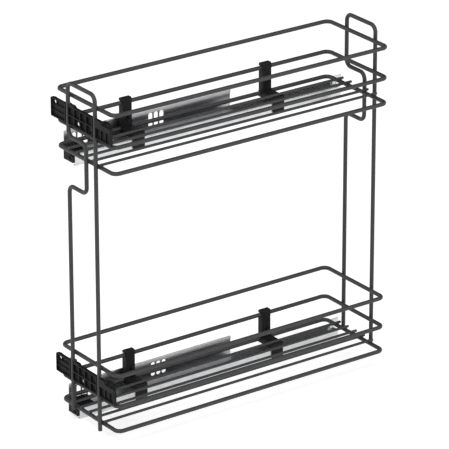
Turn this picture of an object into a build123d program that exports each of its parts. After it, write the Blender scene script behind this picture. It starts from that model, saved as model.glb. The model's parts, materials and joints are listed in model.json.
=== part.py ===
from build123d import *
import os

os.makedirs("parts", exist_ok=True)

# All lengths are in millimetres. X runs from the cabinet side to the open side, -Y points to the
# door and +Z is up. The origin is on the outer face of the lower side bracket, in the middle
# of its two groups of slots.

# The two baskets
basket_length = 470.0
basket_width = 144.0
side_clearance = 8.2
slot_setback = 109.0
wire = 6.0
rod_wire = 4.0
ring_corner_radius = 9.0
middle_ring_rise = 38.0
top_ring_rise = 84.0
tier_pitch = 384.0
ring_lift = 3.25
rod_count = 5
rod_pitch = 19.5
rod_front_stub = 2.8
rod_rear_stub = 5.0

# The two bent uprights that join the tiers
leg_inset = 6.0
loop_rise = 20.0
upright_bend_radius = 10.0
jog_over_ring = 26.0
jog_under_ring = 46.5
front_near_foot = 7.0

# Sheet and fits of the runners
sheet = 1.2
running_gap = 0.3

# Drawer rail, an inverted channel that the baskets ride on
rail_offset = 18.2
rail_width = 24.0
rail_drop = 5.6
rail_near_height = 17.9
rail_far_height = 9.4
rail_lip = 4.5
rail_bend_radius = 2.5
rail_front_setback = 10.0
rail_rear_setback = 3.0
rear_tab_length = 18.0
rear_tab_rise = 6.2
rear_tab_root = 4.0
rear_tab_skirt = 2.2

# Middle rail and cabinet rail, inside the drawer rail
middle_setback = 5.0
middle_lip = 4.5
cabinet_setback = 7.0
rail_rear_inset = 4.0
box_gap = 0.8

# Side bracket, the folded plate screwed to the cabinet side
bracket_setback = 19.0
bracket_length = 281.6
bracket_over_slots = 5.9
bracket_hem = 5.0
bracket_hem_flat = 0.1
bracket_bend_radius = 2.0
bracket_bead = 3.0
bracket_bead_depth = 0.8
bracket_bead_drop = 3.0
shelf_over_lip = 3.5
shelf_clearance = 2.0
slot_width = 7.0
slot_length = 21.5
slot_pitch = 9.4
slot_group_spacing = 128.0
slots_in_group = 3
rivet_inset = 26.0
rivet_shank = 5.0
rivet_head = 5.6
rivet_head_height = 1.2

# Clips between the baskets and the drawer rail
clip_leg_width = 15.4
clip_foot_width = 18.6
clip_spread = 240.0
clip_far_wall = 2.0
clip_near_wall = 1.5
clip_over_wire = 4.0
clip_mouth = 4.8
clip_foot_gap = 0.2
clip_lip_thickness = 2.5
clip_lip_height = 14.4
clip_hole_radius = 3.0
clip_hole_rise = 14.0
clip_hole_point = 5.5

# Door brackets, ribbed mouldings whose face is flush with the front upright
door_low_over_wire = 3.5
door_high_under_ring = 12.0
door_depth = 5.0
door_skin = 2.0
door_rib = 1.5
door_bump_rise = 2.5
door_bump_start = 27.0
door_bump_top_start = 24.0
door_bump_top_end = 17.0
door_bump_end = 13.0
door_end_block = 21.0
door_end_block_drop = 4.0
door_end_chamfer = 2.0
door_corner_radius = 1.5
door_hole_radius = 3.0
door_hole_rise = 12.0
door_hole_spacing = 31.0
door_hole_offset = 6.5
door_side_hole_radius = 3.4
door_side_hole_inset = 7.2
door_side_hole_drop = 5.7
door_side_boss = 6.4
door_side_boss_wall = 1.2
door_pocket_rows = 2
door_pocket_columns = 4
door_far_rows = 3
door_near_columns = 3
door_near_pocket_drop = 11.5
door_low_rib_drop = 1.2
door_hook_inset = 20.0
door_hook_length = 11.0
door_hook_thickness = 3.0
door_spine_height = 10.0
door_spine_depth = 4.0
door_spine_inset = 4.0
leg_groove_clearance = 0.1

# Moulded front catch of the drawer rail, and the small hook pressed from sheet at its rear
catch_gap = 0.3
catch_length = 28.0
catch_height = 12.9
catch_side = 1.0
catch_far_share = 0.6
catch_far_rise = 6.6
catch_near_rise = 3.1
catch_notch = 6.0
catch_notch_depth = 3.5
catch_boss_radius = 3.0
catch_boss_inset = 6.0
catch_boss_depth = 1.2
catch_radius = 1.0
catch_rib = 1.5
catch_rib_pitch = 5.0
catch_rib_count = 4
stop_length = 7.0
stop_width = 5.0
stop_inset = 6.0
stop_rise = 7.0
stop_slot = 1.2
stop_root = 2.6

# Values that follow from the sizes above
wire_radius = wire / 2
rod_radius = rod_wire / 2
basket_x = side_clearance + basket_width / 2
basket_y = basket_length / 2 - slot_setback
ring_half_x = basket_width / 2 - wire_radius
ring_half_y = basket_length / 2 - wire_radius
front_rail_y = basket_y - ring_half_y
rear_rail_y = basket_y + ring_half_y
far_rail_x = basket_x - ring_half_x
front_leg_y = front_rail_y - wire
rear_leg_y = rear_rail_y + wire
leg_x = rod_pitch * (rod_count - 1) / 2 - leg_inset
rail_far_x = rail_offset
rail_near_x = rail_offset + rail_width
rail_front_y = basket_y - basket_length / 2 + rail_front_setback
rail_rear_y = basket_y + basket_length / 2 - rail_rear_setback
rail_step = sheet + running_gap
shelf_drop = rail_drop + rail_near_height - shelf_over_lip
shelf_near_x = rail_near_x - rail_step - middle_lip - shelf_clearance
box_far_x = rail_far_x + rail_step + middle_lip + box_gap
box_near_x = shelf_near_x - box_gap
rivet_x = (box_far_x + box_near_x) / 2
bracket_front = bracket_setback - slot_setback
bracket_rear = bracket_front + bracket_length
rivet_ys = (bracket_front + rivet_inset, (bracket_front + bracket_rear) / 2, bracket_rear - rivet_inset)
catch_front_y = front_rail_y + wire_radius + catch_gap
corner = (Align.MIN, Align.MIN, Align.MIN)
low_centre = (Align.CENTER, Align.CENTER, Align.MIN)


def block(x_from, x_to, y_from, y_to, z_from, z_to, mode=Mode.ADD):
    with Locations((x_from, y_from, z_from)):
        Box(x_to - x_from, y_to - y_from, z_to - z_from, align=corner, mode=mode)


def shelf_top(base):
    return base - shelf_drop


def ring_points(height):
    low_x = basket_x - ring_half_x
    high_x = basket_x + ring_half_x
    return (
        (high_x, front_rail_y, height),
        (high_x, rear_rail_y, height),
        (low_x, rear_rail_y, height),
        (low_x, front_rail_y, height),
    )


def make_ring(name, height):
    with BuildPart() as ring:
        with BuildLine() as path:
            FilletPolyline(*ring_points(height), radius=ring_corner_radius, close=True)
        with BuildSketch(Plane(origin=path.line @ 0, z_dir=path.line % 0)):
            Circle(wire_radius)
        sweep(path=path.line)
    ring.part.label = name
    export_step(ring.part, "parts/" + name + ".step")


def make_rod(name, x, base):
    front = front_rail_y - rod_front_stub
    rear = rear_rail_y + rod_rear_stub
    with BuildPart() as rod:
        with BuildSketch(Plane.XZ.offset(-front)):
            with Locations((x, base + wire_radius + rod_radius)):
                Circle(rod_radius)
        extrude(amount=front - rear)
    rod.part.label = name
    export_step(rod.part, "parts/" + name + ".step")


def make_upright(name, y, near_foot):
    near_x = basket_x + leg_x
    far_x = basket_x - leg_x
    jog_x = basket_x + rod_pitch / 2
    upper_ring = ring_lift + tier_pitch
    top = upper_ring + top_ring_rise + loop_rise
    points = (
        (near_x, y, ring_lift - wire_radius - near_foot),
        (near_x, y, top),
        (far_x, y, top),
        (far_x, y, upper_ring + jog_over_ring),
        (jog_x, y, upper_ring + jog_over_ring),
        (jog_x, y, upper_ring - jog_under_ring),
        (far_x, y, upper_ring - jog_under_ring),
        (far_x, y, ring_lift - wire_radius),
    )
    with BuildPart() as upright:
        with BuildLine() as path:
            FilletPolyline(*points, radius=upright_bend_radius)
        with BuildSketch(Plane(origin=path.line @ 0, z_dir=path.line % 0)):
            Circle(wire_radius)
        sweep(path=path.line)
    upright.part.label = name
    export_step(upright.part, "parts/" + name + ".step")


def make_drawer_rail(name, base):
    top = base - rail_drop
    near_low = top - rail_near_height
    far_low = top - rail_far_height
    tab_front = rail_rear_y + rear_tab_root
    tab_rear = rail_rear_y + rear_tab_length
    with BuildPart() as rail:
        block(rail_far_x, rail_near_x, rail_front_y, rail_rear_y, top - sheet, top)
        block(rail_near_x - sheet, rail_near_x, rail_front_y, rail_rear_y, near_low, top)
        block(rail_near_x - rail_lip, rail_near_x, rail_front_y, rail_rear_y,
              near_low, near_low + sheet)
        block(rail_far_x, rail_far_x + sheet, rail_front_y, rail_rear_y, far_low, top)
        block(rail_far_x, rail_far_x + rail_lip, rail_front_y, rail_rear_y, far_low, far_low + sheet)
        fillet(rail.edges().filter_by(Axis.Y).group_by(Axis.Z)[-2], rail_bend_radius - sheet)
        fillet(rail.edges().filter_by(Axis.Y).group_by(Axis.Z)[-1], rail_bend_radius)
        block(rail_far_x, rail_far_x + sheet, rail_rear_y, tab_rear,
              top - sheet - rear_tab_skirt, top - sheet)
        block(rail_far_x, rail_far_x + sheet, tab_front, tab_rear, top - sheet, top + rear_tab_rise)
    rail.part.label = name
    export_step(rail.part, "parts/" + name + ".step")


def make_middle_rail(name, base):
    top = base - rail_drop - rail_step
    near = rail_near_x - rail_step
    far = rail_far_x + rail_step
    near_low = base - rail_drop - rail_near_height + rail_step
    far_low = base - rail_drop - rail_far_height + rail_step
    front = rail_front_y + middle_setback
    rear = rail_rear_y - rail_rear_inset
    with BuildPart() as rail:
        block(far, near, front, rear, top - sheet, top)
        block(near - sheet, near, front, rear, near_low, top)
        block(near - middle_lip, near, front, rear, near_low, near_low + sheet)
        block(far, far + sheet, front, rear, far_low, top)
        block(far, far + middle_lip, front, rear, far_low, far_low + sheet)
        fillet(rail.edges().filter_by(Axis.Y).group_by(Axis.Z)[-1], rail_bend_radius - rail_step)
    rail.part.label = name
    export_step(rail.part, "parts/" + name + ".step")


def make_cabinet_rail(name, base):
    step = rail_step + rail_step
    top = base - rail_drop - step
    near = rail_near_x - step
    far = rail_far_x + step
    near_low = base - rail_drop - rail_near_height + step
    far_low = base - rail_drop - rail_far_height + step
    seat = shelf_top(base)
    front = rail_front_y + cabinet_setback
    rear = rail_rear_y - rail_rear_inset
    with BuildPart() as rail:
        block(far, near, front, rear, top - sheet, top)
        block(near - sheet, near, front, rear, near_low, top)
        block(far, far + sheet, front, rear, far_low, top)
        block(box_far_x, box_far_x + sheet, front, rear, seat, top)
        block(box_near_x - sheet, box_near_x, front, rear, seat, top)
        block(box_far_x, box_near_x, front, rear, seat, seat + sheet)
        for y in rivet_ys:
            with Locations((rivet_x, y, seat)):
                Cylinder(rivet_shank / 2, sheet, align=low_centre, mode=Mode.SUBTRACT)
    rail.part.label = name
    export_step(rail.part, "parts/" + name + ".step")


def make_rivets(name, base):
    seat = shelf_top(base)
    with BuildPart() as rivets:
        for y in rivet_ys:
            with Locations((rivet_x, y, seat - sheet)):
                Cylinder(rivet_shank / 2, sheet + sheet, align=low_centre)
            with Locations((rivet_x, y, seat - sheet - rivet_head_height)):
                Cylinder(rivet_head / 2, rivet_head_height, align=low_centre)
            with Locations((rivet_x, y, seat + sheet)):
                Cylinder(rivet_head / 2, rivet_head_height, align=low_centre)
    rivets.part.label = name
    export_step(rivets.part, "parts/" + name + ".step")


def make_side_bracket(name, base):
    seat = shelf_top(base)
    middle = base - ring_lift
    slot_end = slot_length / 2
    top = middle + slot_end + bracket_over_slots
    bead_top = middle - slot_end - bracket_bead_drop
    bead_low = bead_top - bracket_bead
    with BuildPart() as bracket:
        block(0, sheet, bracket_front, bracket_rear, seat - sheet, top)
        block(0, shelf_near_x, bracket_front, bracket_rear, seat - sheet, seat)
        fold = bracket.edges().filter_by(Axis.Y).sort_by_distance((sheet, bracket_front, seat))[0]
        fillet(fold, bracket_bend_radius - sheet)
        fillet(bracket.edges().filter_by(Axis.Y).group_by(Axis.Z)[0].sort_by(Axis.X)[0], bracket_bend_radius)
        block(sheet, sheet + sheet, bracket_front, bracket_rear, top - bracket_hem, top)
        fillet(bracket.edges().filter_by(Axis.Y).group_by(Axis.Z)[-1], sheet - bracket_hem_flat)
        block(sheet, sheet + bracket_bead_depth, bracket_front, bracket_rear, bead_low, bead_top)
        with BuildSketch(Plane.YZ):
            for group in (-1, 1):
                for step in range(slots_in_group):
                    y = group * slot_group_spacing / 2 + (step - (slots_in_group - 1) / 2) * slot_pitch
                    with Locations((y, middle)):
                        SlotOverall(slot_length, slot_width, rotation=90)
        extrude(amount=sheet, mode=Mode.SUBTRACT)
        for y in rivet_ys:
            with Locations((rivet_x, y, seat - sheet)):
                Cylinder(rivet_shank / 2, sheet, align=low_centre, mode=Mode.SUBTRACT)
    bracket.part.label = name
    export_step(bracket.part, "parts/" + name + ".step")


def make_clip(name, y, base):
    leg_front = y - clip_leg_width / 2
    leg_rear = y + clip_leg_width / 2
    foot_front = y - clip_foot_width / 2
    foot_rear = y + clip_foot_width / 2
    far = far_rail_x - wire_radius - clip_far_wall
    leg_near = far_rail_x + wire_radius + clip_near_wall
    low = base - rail_drop
    middle = base + middle_ring_rise
    top = middle + wire_radius + clip_over_wire
    foot_top = base + wire_radius - clip_foot_gap
    lip_near = rail_near_x + clip_lip_thickness
    half_mouth = clip_mouth / 2
    with BuildPart() as clip:
        block(far, leg_near, leg_front, leg_rear, low, top)
        fillet(clip.edges().filter_by(Axis.Y).group_by(Axis.Z)[-1], clip_far_wall)
        block(far, lip_near, foot_front, foot_rear, low, foot_top)
        fillet(clip.edges().filter_by(Axis.Y).sort_by(Axis.X)[-2:], clip_near_wall)
        block(rail_near_x, lip_near, foot_front, foot_rear, low - clip_lip_height, low + clip_near_wall)
        for wire_z in (middle, base):
            block(far, far_rail_x, foot_front, foot_rear,
                  wire_z - half_mouth, wire_z + half_mouth, Mode.SUBTRACT)
        with BuildSketch(Plane.XZ.offset(-foot_front)):
            with Locations((far_rail_x, middle), (far_rail_x, base)):
                Circle(wire_radius)
        extrude(amount=-clip_foot_width, mode=Mode.SUBTRACT)
        with BuildSketch(Plane.YZ.offset(far)):
            with Locations((y, base + clip_hole_rise)):
                Circle(clip_hole_radius)
            Polygon(
                (y - clip_hole_radius, base + clip_hole_rise),
                (y + clip_hole_radius, base + clip_hole_rise),
                (y, base + clip_hole_rise + clip_hole_point),
                align=None,
            )
        extrude(amount=leg_near - far, mode=Mode.SUBTRACT)
    clip.part.label = name
    export_step(clip.part, "parts/" + name + ".step")


def door_profile(low, high):
    half = basket_width / 2
    end_high = high - door_end_block_drop
    step = basket_x + half - door_end_block
    return (
        (basket_x - half, low),
        (basket_x + half, low),
        (basket_x + half, end_high),
        (step, end_high),
        (step - door_end_chamfer, high),
        (basket_x - door_bump_end, high),
        (basket_x - door_bump_top_end, high + door_bump_rise),
        (basket_x - door_bump_top_start, high + door_bump_rise),
        (basket_x - door_bump_start, high),
        (basket_x - half, high),
    )


def pockets(x_from, x_to, columns, z_from, z_to, rows, front, floor):
    """Cuts a grid of pockets with ribs between them, open towards the door."""
    width = (x_to - x_from + door_rib) / columns
    height = (z_to - z_from + door_rib) / rows
    for column in range(columns):
        for row in range(rows):
            x = x_from + column * width
            z = z_from + row * height
            block(x, x + width - door_rib, front, floor, z, z + height - door_rib, Mode.SUBTRACT)


def make_door_bracket(name, base):
    face = front_leg_y - wire_radius
    back = face + door_depth
    floor = back - door_skin
    rib_face = face + door_low_rib_drop
    wire_top = base + middle_ring_rise + wire_radius
    hook_low = base + middle_ring_rise - wire_radius
    low = wire_top + door_low_over_wire
    high = base + top_ring_rise - door_high_under_ring
    spine_high = high - door_spine_inset
    half = basket_width / 2
    reach = half - door_hook_inset
    hook_rear = front_rail_y + wire_radius + door_hook_thickness
    hook_front = front_rail_y + wire_radius
    groove = wire_radius + leg_groove_clearance
    cell_far = basket_x - leg_x + groove + door_rib
    cell_near = basket_x + leg_x - groove - door_rib
    far_end = basket_x - half + door_rib
    far_side = basket_x - leg_x - groove - door_rib
    near_side = basket_x + leg_x + groove + door_rib
    near_end = basket_x + half - door_rib
    near_high = high - door_near_pocket_drop
    hole_z = base + middle_ring_rise + door_hole_rise
    side_x = basket_x - half + door_side_hole_inset
    side_z = high - door_side_hole_drop
    inside = door_side_boss - door_side_boss_wall
    with BuildPart() as bracket:
        with BuildSketch(Plane.XZ.offset(-face)):
            Polygon(*door_profile(low, high), align=None)
            fillet(vertices(), door_corner_radius)
        extrude(amount=-door_depth)
        pockets(cell_far, cell_near, door_pocket_columns, low + door_rib, high - door_rib,
                door_pocket_rows, face, floor)
        block(far_end, far_side, face, rib_face, low + door_rib, high - door_rib, Mode.SUBTRACT)
        pockets(far_end, far_side, 1, low + door_rib, high - door_rib, door_far_rows, rib_face, floor)
        block(near_side, near_end, face, rib_face, low + door_rib, near_high, Mode.SUBTRACT)
        pockets(near_side, near_end, door_near_columns, low + door_rib, near_high, 1, rib_face, floor)
        with BuildSketch(Plane.XZ.offset(-rib_face)):
            with Locations((side_x, side_z)):
                Circle(door_side_boss)
        extrude(amount=rib_face - back)
        with BuildSketch(Plane.XZ.offset(-rib_face)):
            with Locations((side_x, side_z)):
                Circle(inside)
        extrude(amount=rib_face - floor, mode=Mode.SUBTRACT)
        block(basket_x - reach, basket_x + reach, back, back + door_spine_depth,
              spine_high - door_spine_height, spine_high)
        for side in (-1, 1):
            hook_ends = (basket_x + side * reach, basket_x + side * (reach - door_hook_length))
            left, right = sorted(hook_ends)
            block(left, right, floor, hook_rear, wire_top, spine_high)
            block(left, right, hook_front, hook_rear, hook_low, spine_high)
            x = basket_x + side * leg_x
            block(x - groove, x + groove, face, front_leg_y, low, high, Mode.SUBTRACT)
            with Locations((x, front_leg_y, low)):
                Cylinder(groove, high - low, align=low_centre, mode=Mode.SUBTRACT)
        with BuildSketch(Plane.XZ.offset(-floor)):
            for side in (-1, 1):
                with Locations((basket_x + door_hole_offset + side * door_hole_spacing / 2, hole_z)):
                    Circle(door_hole_radius)
        extrude(amount=-door_skin, mode=Mode.SUBTRACT)
        with BuildSketch(Plane.XZ.offset(-floor)):
            with Locations((side_x, side_z)):
                Circle(door_side_hole_radius)
        extrude(amount=-door_skin, mode=Mode.SUBTRACT)
    bracket.part.label = name
    export_step(bracket.part, "parts/" + name + ".step")


def make_catch(name, base):
    top = base - rail_drop
    far = rail_far_x + catch_side
    near = rail_near_x
    low = top - catch_height
    rear = catch_front_y + catch_length
    step_x = far + (near - far) * catch_far_share
    rib_front = catch_front_y + catch_rib_pitch
    with BuildPart() as catch:
        block(far, near, catch_front_y, rail_front_y, low, top)
        block(far, step_x, catch_front_y, rear, top, top + catch_far_rise)
        block(step_x, near, catch_front_y, rear, top, top + catch_near_rise)
        fillet(catch.edges().filter_by(Axis.Y).group_by(Axis.Z)[-1], catch_radius)
        for number in range(catch_rib_count):
            y = rib_front + number * catch_rib_pitch
            block(far + catch_rib, step_x - catch_rib, y, y + catch_rib + catch_rib,
                  top + catch_rib, top + catch_far_rise, Mode.SUBTRACT)
        block(near - catch_notch, near, catch_front_y, rail_front_y,
              top - catch_notch_depth, top, Mode.SUBTRACT)
        with BuildSketch(Plane.XZ.offset(-catch_front_y)):
            with Locations((near - catch_boss_inset, low + catch_boss_inset)):
                Circle(catch_boss_radius)
        extrude(amount=-catch_boss_depth, mode=Mode.SUBTRACT)
    catch.part.label = name
    export_step(catch.part, "parts/" + name + ".step")


def make_stop(name, base):
    top = base - rail_drop
    rear = rear_rail_y - wire_radius - catch_gap
    front = rear - stop_length
    near = rail_near_x - stop_inset
    far = near - stop_width
    slot_rear = rear - sheet
    with BuildPart() as stop:
        block(far, near, front, rear, top, top + stop_rise)
        fillet(stop.edges().filter_by(Axis.Y).group_by(Axis.Z)[0], catch_radius)
        block(far + sheet, near - sheet, front, rear, top + sheet, top + stop_rise, Mode.SUBTRACT)
        block(far, near, slot_rear - stop_slot, slot_rear, top + stop_root, top + stop_rise, Mode.SUBTRACT)
    stop.part.label = name
    export_step(stop.part, "parts/" + name + ".step")


def make_tier(tier, base):
    for place, rise in (("bottom", 0), ("middle", middle_ring_rise), ("top", top_ring_rise)):
        make_ring(tier + "_" + place + "_ring", base + rise)
    for number in range(rod_count):
        x = basket_x + (number - (rod_count - 1) / 2) * rod_pitch
        make_rod(tier + "_floor_rod_" + str(number + 1), x, base)
    make_clip(tier + "_front_clip", basket_y - clip_spread / 2, base)
    make_clip(tier + "_rear_clip", basket_y + clip_spread / 2, base)
    make_door_bracket(tier + "_door_bracket", base)
    make_drawer_rail(tier + "_drawer_rail", base)
    make_catch(tier + "_front_catch", base)
    make_stop(tier + "_rear_stop", base)
    make_middle_rail(tier + "_middle_rail", base)
    make_cabinet_rail(tier + "_cabinet_rail", base)
    make_rivets(tier + "_rivets", base)
    make_side_bracket(tier + "_side_bracket", base)


make_tier("lower", ring_lift)
make_tier("upper", ring_lift + tier_pitch)
make_upright("front_upright", front_leg_y, front_near_foot)
make_upright("rear_upright", rear_leg_y, 0)
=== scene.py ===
import json
import math
from collections import namedtuple
import bpy
import bmesh
from mathutils import Matrix, Vector


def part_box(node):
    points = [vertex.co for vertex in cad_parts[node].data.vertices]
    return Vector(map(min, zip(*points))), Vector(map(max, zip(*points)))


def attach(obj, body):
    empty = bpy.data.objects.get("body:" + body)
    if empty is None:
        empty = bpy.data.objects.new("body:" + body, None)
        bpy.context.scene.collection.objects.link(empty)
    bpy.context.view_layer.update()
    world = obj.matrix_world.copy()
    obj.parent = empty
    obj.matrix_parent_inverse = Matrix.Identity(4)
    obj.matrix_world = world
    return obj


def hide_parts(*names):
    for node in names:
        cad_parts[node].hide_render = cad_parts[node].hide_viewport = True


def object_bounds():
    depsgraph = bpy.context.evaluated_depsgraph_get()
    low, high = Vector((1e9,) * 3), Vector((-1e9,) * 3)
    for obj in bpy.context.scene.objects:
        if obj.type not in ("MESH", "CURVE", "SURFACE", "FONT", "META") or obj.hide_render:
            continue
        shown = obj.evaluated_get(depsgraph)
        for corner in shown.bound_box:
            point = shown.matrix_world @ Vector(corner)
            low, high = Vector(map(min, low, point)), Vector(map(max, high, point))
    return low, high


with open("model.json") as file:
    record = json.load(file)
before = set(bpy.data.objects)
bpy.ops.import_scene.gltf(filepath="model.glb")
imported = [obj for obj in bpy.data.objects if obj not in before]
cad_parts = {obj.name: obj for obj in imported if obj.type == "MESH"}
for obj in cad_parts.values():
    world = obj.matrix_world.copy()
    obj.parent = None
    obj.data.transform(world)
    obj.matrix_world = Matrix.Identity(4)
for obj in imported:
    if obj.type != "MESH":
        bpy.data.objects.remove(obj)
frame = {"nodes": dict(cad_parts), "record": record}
cad_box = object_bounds()

MM = 0.001

TIERS = ("lower", "upper")
UPRIGHTS = ("front_upright", "rear_upright")
ROD_COUNT = 5

Grain = namedtuple("Grain", "scale detail roughness")
Tones = namedtuple("Tones", "darkest lightest")
Bump = namedtuple("Bump", "strength distance")

# Each finish has an even roughness for viewers that leave its pattern out. Where the pattern is
# shown, the roughness starts at its least and the noises add their shares.

# Coated wire: linear colour, fine orange peel and slow changes of tone
WIRE_GREY = (0.040, 0.040, 0.042)
WIRE_SPECULAR = 0.35
WIRE_PEEL = Grain(900.0, 3.0, 0.6)
WIRE_CLOUD = Grain(60.0, 2.0, 0.5)
WIRE_TONES = Tones(0.9, 1.12)
WIRE_EVEN_ROUGHNESS = 0.46
WIRE_LEAST_ROUGHNESS = 0.38
WIRE_PEEL_ROUGHNESS = 0.14
WIRE_BUMP = Bump(0.14, 0.0003)

# Black mouldings: spark-eroded grain, and places rubbed smoother
MOULDING_BLACK = (0.008, 0.008, 0.0085)
MOULDING_SPECULAR = 0.16
MOULDING_GRAIN = Grain(2600.0, 2.0, 0.5)
MOULDING_RUB = Grain(90.0, 3.0, 0.6)
MOULDING_TONES = Tones(0.75, 1.5)
MOULDING_EVEN_ROUGHNESS = 0.6
MOULDING_LEAST_ROUGHNESS = 0.42
MOULDING_GRAIN_ROUGHNESS = 0.12
MOULDING_RUB_ROUGHNESS = 0.16
MOULDING_BUMP = Bump(0.25, 0.0002)

# Zinc: both kinds have lines drawn along the strip, stretched by the scales given for X, Y and Z
METAL = 1.0
DRAWN_LINES = Grain(1.0, 3.0, 0.6)
EVEN_MIX = 0.5

RAIL_ZINC = (0.60, 0.61, 0.62)
RAIL_STRETCH = (1400.0, 9.0, 1400.0)
RAIL_SPANGLE = Grain(170.0, 2.0, 0.5)
RAIL_SPANGLE_STRETCH = (1.0, 0.4, 1.0)
RAIL_TONES = Tones(0.82, 1.16)
RAIL_EVEN_ROUGHNESS = 0.3
RAIL_LEAST_ROUGHNESS = 0.17
RAIL_DRAWN_ROUGHNESS = 0.16
RAIL_SPANGLE_ROUGHNESS = 0.1
RAIL_BUMP = Bump(0.10, 0.0002)

BRACKET_ZINC = (0.50, 0.50, 0.51)
BRACKET_STRETCH = (1100.0, 6.0, 1100.0)
BRACKET_CLOUD = Grain(45.0, 3.0, 0.55)
BRACKET_CLOUD_STRETCH = (1.0, 0.3, 1.0)
BRACKET_TONES = Tones(0.8, 1.18)
BRACKET_EVEN_ROUGHNESS = 0.34
BRACKET_LEAST_ROUGHNESS = 0.2
BRACKET_DRAWN_ROUGHNESS = 0.14
BRACKET_CLOUD_ROUGHNESS = 0.12
BRACKET_BUMP = Bump(0.08, 0.0002)

# The part of a noise between which the tones run, and the stops that a new ramp has
TONE_FROM = 0.3
TONE_TO = 0.7
RAMP_STOPS = 2

# Weld beads and eased edges, lengths in metres
WIRE_RADIUS = 3.0 * MM
JOG = 9.75 * MM
BEAD_LENGTH = 2.3 * MM
BEAD_HALF_THICKNESS = 0.8 * MM
MERGE = 0.001 * MM
MOULDED_EDGE = 0.25 * MM
SHEARED_EDGE = 0.12 * MM
CUT_END = 0.6 * MM
EASED_ANGLE = math.radians(35.0)
FLAT_ANGLE = math.radians(1.0)
BEVEL_SEGMENTS = 2
BEVEL_PROFILE = 0.5
BEAD_SUBDIVISIONS = 2

# Where the camera stood, worked out from the photograph. Lengths in millimetres, angles in degrees.
CAMERA_AZIMUTH = 54.40
CAMERA_ELEVATION = 22.71
CAMERA_ROLL = -0.10
CAMERA_DISTANCE = 5082.58
FOCAL_PIXELS = 3612.83
FRAME_PIXELS = 449
SENSOR_WIDTH = 36.0
TARGET_HEIGHT = 250.0
TARGET_RIGHT = -0.71
TARGET_UP = -16.9

# How far the camera sees, in metres
CLIP_END = 50.0

# How bright the studio is. The floor is lifted to white where it is lit, and keeps its shadows.
# The square lamps and the flag are placed in metres from the middle of the part.
WHITE = (1.0, 1.0, 1.0, 1.0)
WORLD_LEVEL = 0.5
FLOOR_COLOUR = (0.86, 0.86, 0.86)
FLOOR_ROUGHNESS = 0.9
FLOOR_LIFT = 0.55
FLOOR_GAP = 0.0005
FLOOR_REACH = 8.0
FLAG_COLOUR = (0.0, 0.0, 0.0)
FLAG_ROUGHNESS = 1.0
FLAG_LEVEL = 0.05
FLAG_HALF = 2.2
FLAG_PLACE = (-2.4, 1.7, 2.0)
KEY_PLACE = (1.2, -2.2, 2.4)
KEY_SIZE = 1.6
KEY_WATTS = 40.0
SIDE_PLACE = (2.6, 1.4, 1.2)
SIDE_SIZE = 1.8
SIDE_WATTS = 18.0

# Where the basket's middle planes and its lower bottom ring are in the frame, in millimetres
BASKET_X = 80.2
BASKET_Y = 126.0
RING_Z = 3.25


class Wave:
    """A shader socket that takes plain arithmetic."""

    def __init__(self, paint, socket):
        self.paint = paint
        self.socket = socket

    def _math(self, operation, other):
        return self.paint.node("ShaderNodeMath", {"operation": operation}, {0: self, 1: other})

    def __add__(self, other):
        return self._math("ADD", other)

    def __mul__(self, other):
        return self._math("MULTIPLY", other)

    def larger(self, other):
        return self._math("MAXIMUM", other)


class Paint:
    """A material with a Principled shader whose patterns follow the piece's own coordinates."""

    def __init__(self, name, colour, roughness, metallic=0.0):
        self.material = bpy.data.materials.new(name)
        self.material.use_nodes = True
        self.tree = self.material.node_tree
        self.shader = self.tree.nodes["Principled BSDF"]
        self.shader.inputs["Base Color"].default_value = (*colour, 1.0)
        self.shader.inputs["Roughness"].default_value = roughness
        self.shader.inputs["Metallic"].default_value = metallic
        self.material.diffuse_color = (*colour, 1.0)

    def node(self, kind, settings=None, values=None, output=0):
        made = self.tree.nodes.new(kind)
        for key, value in (settings or {}).items():
            if key == "stops":
                ramp = made.color_ramp
                for place, (position, colour) in enumerate(value):
                    stop = ramp.elements[place] if place < RAMP_STOPS else ramp.elements.new(position)
                    stop.position = position
                    stop.color = (*colour, 1.0)
            else:
                setattr(made, key, value)
        for key, value in (values or {}).items():
            if isinstance(value, Wave):
                self.tree.links.new(value.socket, made.inputs[key])
            else:
                made.inputs[key].default_value = value
        return Wave(self, made.outputs[output])

    def link(self, wave, socket):
        self.tree.links.new(wave.socket, socket)

    def feed(self, name, wave):
        self.link(wave, self.shader.inputs[name])

    def place(self, scale=(1.0, 1.0, 1.0)):
        here = self.node("ShaderNodeTexCoord", output="Object")
        return self.node("ShaderNodeMapping", values={"Vector": here, "Scale": scale})

    def noise(self, vector, grain):
        values = {"Vector": vector, "Scale": grain.scale, "Detail": grain.detail}
        values["Roughness"] = grain.roughness
        return self.node("ShaderNodeTexNoise", values=values)

    def shades(self, wave, colour, tones):
        """The colour, from its darkest to its lightest share along the middle of a noise."""
        stops = tuple((place, tuple(share * value for value in colour))
                      for place, share in ((TONE_FROM, tones.darkest), (TONE_TO, tones.lightest)))
        return self.node("ShaderNodeValToRGB", {"stops": stops}, {"Fac": wave})

    def bump(self, height, bump):
        values = {"Height": height, "Strength": bump.strength, "Distance": bump.distance}
        self.feed("Normal", self.node("ShaderNodeBump", values=values))

    def set_specular(self, level):
        self.shader.inputs["Specular IOR Level"].default_value = level


class Backdrop(Paint):
    """The world's nodes, with the same ways of adding to them."""

    def __init__(self, world):
        world.use_nodes = True
        self.tree = world.node_tree


def coated_wire():
    """Dark powder coat with its faint orange peel and a little unevenness in tone."""
    paint = Paint("coated_wire", WIRE_GREY, WIRE_EVEN_ROUGHNESS)
    paint.set_specular(WIRE_SPECULAR)
    peel = paint.noise(paint.place(), WIRE_PEEL)
    cloud = paint.noise(paint.place(), WIRE_CLOUD)
    paint.feed("Base Color", paint.shades(cloud, WIRE_GREY, WIRE_TONES))
    paint.feed("Roughness", peel * WIRE_PEEL_ROUGHNESS + WIRE_LEAST_ROUGHNESS)
    paint.bump(peel, WIRE_BUMP)
    return paint.material


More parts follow.
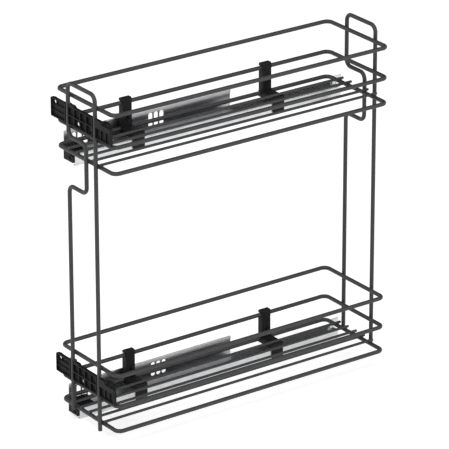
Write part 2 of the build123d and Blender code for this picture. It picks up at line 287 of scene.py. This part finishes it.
def black_moulding():
    """Fine spark-eroded grain of a black moulding, a little polished where it is rubbed."""
    paint = Paint("black_moulding", MOULDING_BLACK, MOULDING_EVEN_ROUGHNESS)
    paint.set_specular(MOULDING_SPECULAR)
    grain = paint.noise(paint.place(), MOULDING_GRAIN)
    rubbed = paint.noise(paint.place(), MOULDING_RUB)
    paint.feed("Base Color", paint.shades(rubbed, MOULDING_BLACK, MOULDING_TONES))
    uneven = grain * MOULDING_GRAIN_ROUGHNESS + rubbed * MOULDING_RUB_ROUGHNESS
    paint.feed("Roughness", uneven + MOULDING_LEAST_ROUGHNESS)
    paint.bump(grain, MOULDING_BUMP)
    return paint.material


def galvanised():
    """Zinc on rolled strip: lines drawn lengthways, over soft spangle."""
    paint = Paint("galvanised", RAIL_ZINC, RAIL_EVEN_ROUGHNESS, METAL)
    drawn = paint.noise(paint.place(RAIL_STRETCH), DRAWN_LINES)
    spangle = paint.noise(paint.place(RAIL_SPANGLE_STRETCH), RAIL_SPANGLE)
    mixed = spangle * EVEN_MIX + drawn * EVEN_MIX
    paint.feed("Base Color", paint.shades(mixed, RAIL_ZINC, RAIL_TONES))
    uneven = drawn * RAIL_DRAWN_ROUGHNESS + spangle * RAIL_SPANGLE_ROUGHNESS
    paint.feed("Roughness", uneven + RAIL_LEAST_ROUGHNESS)
    paint.bump(drawn, RAIL_BUMP)
    return paint.material


def zinc_sheet():
    """Duller zinc of the pressed side brackets, with the mill's lines along the strip."""
    paint = Paint("zinc_sheet", BRACKET_ZINC, BRACKET_EVEN_ROUGHNESS, METAL)
    drawn = paint.noise(paint.place(BRACKET_STRETCH), DRAWN_LINES)
    cloud = paint.noise(paint.place(BRACKET_CLOUD_STRETCH), BRACKET_CLOUD)
    mixed = cloud * EVEN_MIX + drawn * EVEN_MIX
    paint.feed("Base Color", paint.shades(mixed, BRACKET_ZINC, BRACKET_TONES))
    uneven = drawn * BRACKET_DRAWN_ROUGHNESS + cloud * BRACKET_CLOUD_ROUGHNESS
    paint.feed("Roughness", uneven + BRACKET_LEAST_ROUGHNESS)
    paint.bump(drawn, BRACKET_BUMP)
    return paint.material


def make_looks():
    return {
        "coated_wire": coated_wire(),
        "black_plastic": black_moulding(),
        "galvanised_rail": galvanised(),
        "zinc_sheet": zinc_sheet(),
    }


def dress_nodes(looks):
    for part in frame["record"]["subparts"]:
        node = frame["nodes"][part["node"]]
        node.data.materials.clear()
        node.data.materials.append(looks[part["material_slot"]])


def slot_of(name):
    parts = frame["record"]["subparts"]
    return next(part["material_slot"] for part in parts if part["node"] == name)


def body_of(name):
    bodies = frame["record"]["behaviour"]["bodies"]
    return next(body for body, nodes in bodies.items() if name in nodes)


def add_object(name, shape, material):
    """Makes the bmesh an object with one material."""
    mesh = bpy.data.meshes.new(name)
    shape.to_mesh(mesh)
    shape.free()
    mesh.materials.append(material)
    made = bpy.data.objects.new(name, mesh)
    bpy.context.collection.objects.link(made)
    return made


def add_piece(name, shape, slot, looks, body):
    """Makes the bmesh a piece of the part, with its finish, riding on a body."""
    piece = add_object(name, shape, looks[slot])
    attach(piece, body)
    return piece


def ease_edges(name, looks, width):
    """Stands for a CAD node: the same solid with sharp edges eased, as from a mould or press."""
    shape = bmesh.new()
    shape.from_mesh(frame["nodes"][name].data)
    bmesh.ops.remove_doubles(shape, verts=shape.verts, dist=MERGE)
    bmesh.ops.dissolve_limit(shape, angle_limit=FLAT_ANGLE, verts=shape.verts, edges=shape.edges)
    sharp = [edge for edge in shape.edges if edge.is_manifold and edge.calc_face_angle() > EASED_ANGLE]
    bmesh.ops.bevel(shape, geom=sharp, offset=width, affect="EDGES", segments=BEVEL_SEGMENTS,
                    profile=BEVEL_PROFILE, material=-1, clamp_overlap=True)
    bmesh.ops.recalc_face_normals(shape, faces=shape.faces)
    for face in shape.faces:
        face.smooth = True
    piece = add_piece(name + "_eased", shape, slot_of(name), looks, body_of(name))
    piece.data.set_sharp_from_angle(angle=EASED_ANGLE)
    flats = piece.modifiers.new("flats_stay_flat", "WEIGHTED_NORMAL")
    flats.keep_sharp = True
    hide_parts(name)


def ease_all(looks):
    for tier in TIERS:
        for moulding in ("door_bracket", "front_clip", "rear_clip", "front_catch"):
            ease_edges(tier + "_" + moulding, looks, MOULDED_EDGE)
        for sheet in ("side_bracket", "drawer_rail", "rear_stop"):
            ease_edges(tier + "_" + sheet, looks, SHEARED_EDGE)
        for number in range(ROD_COUNT):
            ease_edges(tier + "_floor_rod_" + str(number + 1), looks, CUT_END)
    for upright in UPRIGHTS:
        ease_edges(upright, looks, CUT_END)


def add_bead(shape, place, reach):
    """One weld bead: a flattened drop between two wires that touch."""
    bead = bmesh.ops.create_icosphere(shape, subdivisions=BEAD_SUBDIVISIONS, radius=1.0)
    turn = Matrix.Translation(place) @ Matrix.Diagonal((*reach, 1.0))
    bmesh.ops.transform(shape, matrix=turn, verts=bead["verts"])
    for vertex in bead["verts"]:
        for face in vertex.link_faces:
            face.smooth = True


def add_floor_welds(tier, looks):
    """Beads where the five floor rods cross the bottom ring at its front and rear."""
    low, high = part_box(tier + "_bottom_ring")
    shape = bmesh.new()
    for number in range(ROD_COUNT):
        rod_low, rod_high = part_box(tier + "_floor_rod_" + str(number + 1))
        for y in (low.y + WIRE_RADIUS, high.y - WIRE_RADIUS):
            place = Vector(((rod_low.x + rod_high.x) / 2, y, high.z))
            add_bead(shape, place, (BEAD_LENGTH, BEAD_LENGTH, BEAD_HALF_THICKNESS))
    add_piece(tier + "_floor_welds", shape, "coated_wire", looks, "basket")


def add_upright_welds(name, looks):
    """Beads where one upright's two legs touch the front or rear rails of the six rings."""
    low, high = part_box(name)
    centre = (low.x + high.x) / 2
    shape = bmesh.new()
    for tier in TIERS:
        for ring in ("bottom", "middle", "top"):
            ring_low, ring_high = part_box(tier + "_" + ring + "_ring")
            touch = ring_low.y if name == "front_upright" else ring_high.y
            jogged = tier == "upper" and ring == "bottom"
            far = centre + JOG if jogged else low.x + WIRE_RADIUS
            for x in (far, high.x - WIRE_RADIUS):
                place = Vector((x, touch, (ring_low.z + ring_high.z) / 2))
                add_bead(shape, place, (BEAD_LENGTH, BEAD_HALF_THICKNESS, BEAD_LENGTH))
    add_piece(name + "_welds", shape, "coated_wire", looks, "basket")


def studio_centre():
    """The middle of the part, which the lamps and the flag face."""
    return Vector((BASKET_X, BASKET_Y, RING_Z + TARGET_HEIGHT)) * MM


def face_centre(place):
    """Stands something in the studio, its face turned to the middle of the part."""
    centre = studio_centre()
    spot = centre + Vector(place)
    return Matrix.Translation(spot) @ (spot - centre).to_track_quat("Z", "Y").to_matrix().to_4x4()


def view_axes():
    azimuth = math.radians(CAMERA_AZIMUTH)
    elevation = math.radians(CAMERA_ELEVATION)
    forward = Vector((
        -math.sin(azimuth) * math.cos(elevation),
        math.cos(azimuth) * math.cos(elevation),
        -math.sin(elevation),
    ))
    right = Vector((math.cos(azimuth), math.sin(azimuth), 0.0))
    return right, right.cross(forward), forward


def make_camera():
    right, up, forward = view_axes()
    target = Vector((BASKET_X, BASKET_Y, RING_Z + TARGET_HEIGHT)) + right * TARGET_RIGHT + up * TARGET_UP
    roll = math.radians(CAMERA_ROLL)
    rolled_right = right * math.cos(roll) + up * math.sin(roll)
    rolled_up = up * math.cos(roll) - right * math.sin(roll)
    data = bpy.data.cameras.new("camera")
    data.sensor_width = SENSOR_WIDTH
    data.lens = FOCAL_PIXELS / FRAME_PIXELS * SENSOR_WIDTH
    data.clip_end = CLIP_END
    camera = bpy.data.objects.new("camera", data)
    bpy.context.collection.objects.link(camera)
    turn = Matrix((rolled_right, rolled_up, -forward)).transposed().to_4x4()
    camera.matrix_world = Matrix.Translation((target - forward * CAMERA_DISTANCE) * MM) @ turn
    bpy.context.scene.camera = camera


def seen_directly(paint):
    """1 for rays that show a backdrop as it is: from the camera, a mirror or a clear piece."""
    rays = paint.tree.nodes.new("ShaderNodeLightPath")
    camera, glossy, clear = (
        Wave(paint, rays.outputs["Is " + kind + " Ray"]) for kind in ("Camera", "Glossy", "Transmission")
    )
    return camera.larger(glossy).larger(clear)


def make_world():
    world = bpy.data.worlds.new("studio")
    bpy.context.scene.world = world
    paint = Backdrop(world)
    lit = paint.tree.nodes["Background"]
    lit.inputs["Color"].default_value = WHITE
    seen = seen_directly(paint)
    paint.link(seen * (1.0 - WORLD_LEVEL) + WORLD_LEVEL, lit.inputs["Strength"])


def card_shape(half):
    """A flat square of two times this size, about the origin."""
    shape = bmesh.new()
    bmesh.ops.create_grid(shape, x_segments=1, y_segments=1, size=half)
    return shape


def glowing_paint(name, colour, roughness):
    """A dull paint that can also shine white."""
    paint = Paint(name, colour, roughness)
    paint.set_specular(0.0)
    paint.shader.inputs["Emission Color"].default_value = WHITE
    return paint


def make_floor():
    shape = card_shape(FLOOR_REACH)
    bmesh.ops.translate(shape, verts=shape.verts, vec=(0.0, 0.0, cad_box[0].z - FLOOR_GAP))
    paint = glowing_paint("white_floor", FLOOR_COLOUR, FLOOR_ROUGHNESS)
    paint.feed("Emission Strength", seen_directly(paint) * FLOOR_LIFT)
    floor = add_object("floor", shape, paint.material)


def make_lamp(name, place, size, watts):
    data = bpy.data.lights.new(name, "AREA")
    data.shape = "SQUARE"
    data.size = size
    data.energy = watts
    lamp = bpy.data.objects.new(name, data)
    bpy.context.collection.objects.link(lamp)
    lamp.matrix_world = face_centre(place)


def make_lights():
    make_world()
    make_lamp("key_lamp", KEY_PLACE, KEY_SIZE, KEY_WATTS)
    make_lamp("side_lamp", SIDE_PLACE, SIDE_SIZE, SIDE_WATTS)


def make_flag():
    """A dark card behind the cabinet side, which only the bright metal mirrors, as in a studio."""
    shape = card_shape(FLAG_HALF)
    bmesh.ops.transform(shape, matrix=face_centre(FLAG_PLACE), verts=shape.verts)
    paint = glowing_paint("flag_card", FLAG_COLOUR, FLAG_ROUGHNESS)
    paint.shader.inputs["Emission Strength"].default_value = FLAG_LEVEL
    flag = add_object("flag", shape, paint.material)
    flag.visible_camera = False
    flag.visible_diffuse = False
    flag.visible_transmission = False
    flag.visible_shadow = False


def set_colours():
    bpy.context.scene.view_settings.view_transform = "Standard"


set_colours()
finishes = make_looks()
dress_nodes(finishes)
ease_all(finishes)
for tier_name in TIERS:
    add_floor_welds(tier_name, finishes)
for upright_name in UPRIGHTS:
    add_upright_welds(upright_name, finishes)
make_camera()
make_lights()
make_floor()
make_flag()
